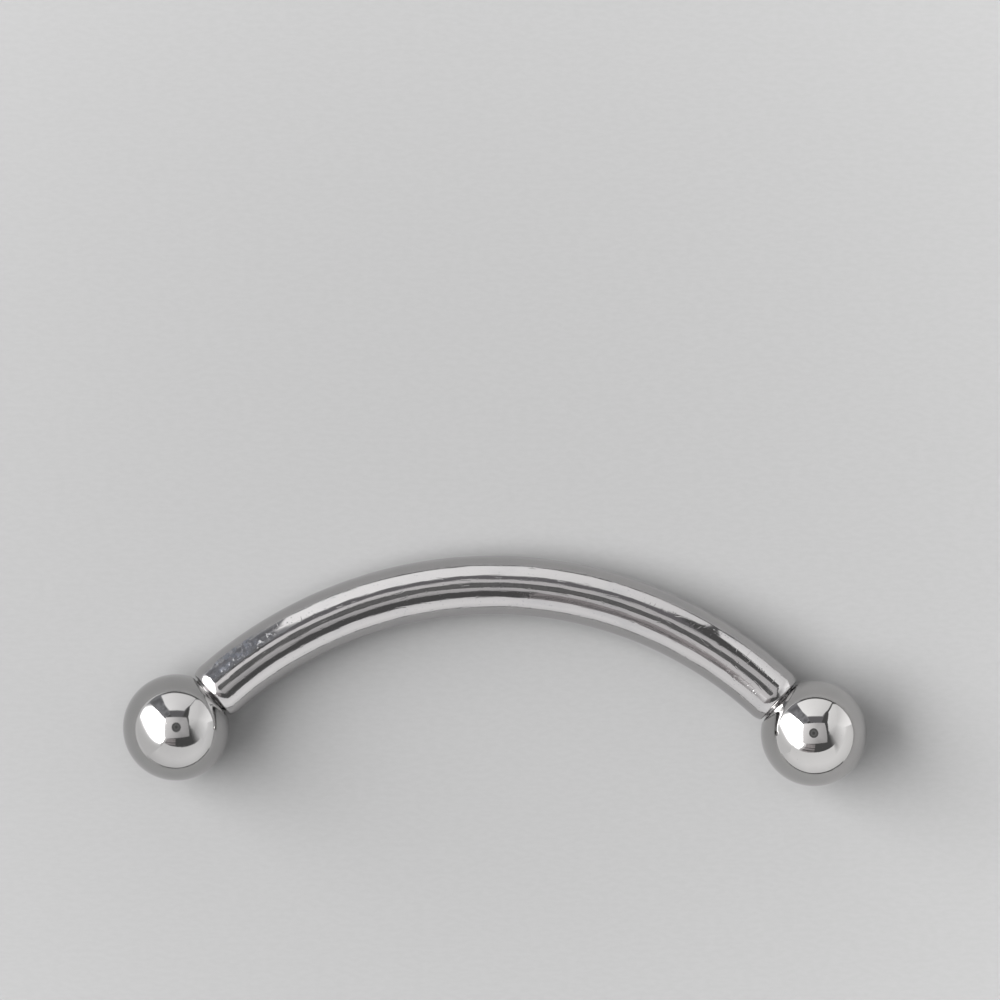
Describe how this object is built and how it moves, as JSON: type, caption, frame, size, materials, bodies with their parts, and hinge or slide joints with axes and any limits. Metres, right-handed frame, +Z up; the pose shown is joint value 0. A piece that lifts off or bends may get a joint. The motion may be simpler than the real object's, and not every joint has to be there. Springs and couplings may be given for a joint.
{
  "type": "curved eyebrow barbell",
  "caption": "Curved polished steel bar for an eyebrow piercing, with a screw-on ball closing each end.",
  "frame": {"origin": "on the surface that the barbell lies on, midway between the balls in X and midway along Y between the balls' outer sides and the outside of the bend", "axes": "+X from the left ball to the right ball, +Y towards the outside of the bend, +Z up from the surface that it rests on"},
  "size_m": [0.021, 0.0064, 0.003],
  "materials": {
    "bar_steel": "polished",
    "ball_steel": "polished"
  },
  "bodies": {
    "bar": {"curved_bar": "bar_steel"},
    "left_ball": {"ball_left": "ball_steel"},
    "right_ball": {"ball_right": "ball_steel"}
  },
  "joints": [
    {"name": "left_ball_unscrew", "type": "slide", "parent": "bar", "child": "left_ball", "axis": [-0.736, -0.6678, 0.1111], "range_m": [0, 0.0022]},
    {"name": "right_ball_unscrew", "type": "slide", "parent": "bar", "child": "right_ball", "axis": [0.736, -0.6678, 0.1111], "range_m": [0, 0.0022]}
  ]
}
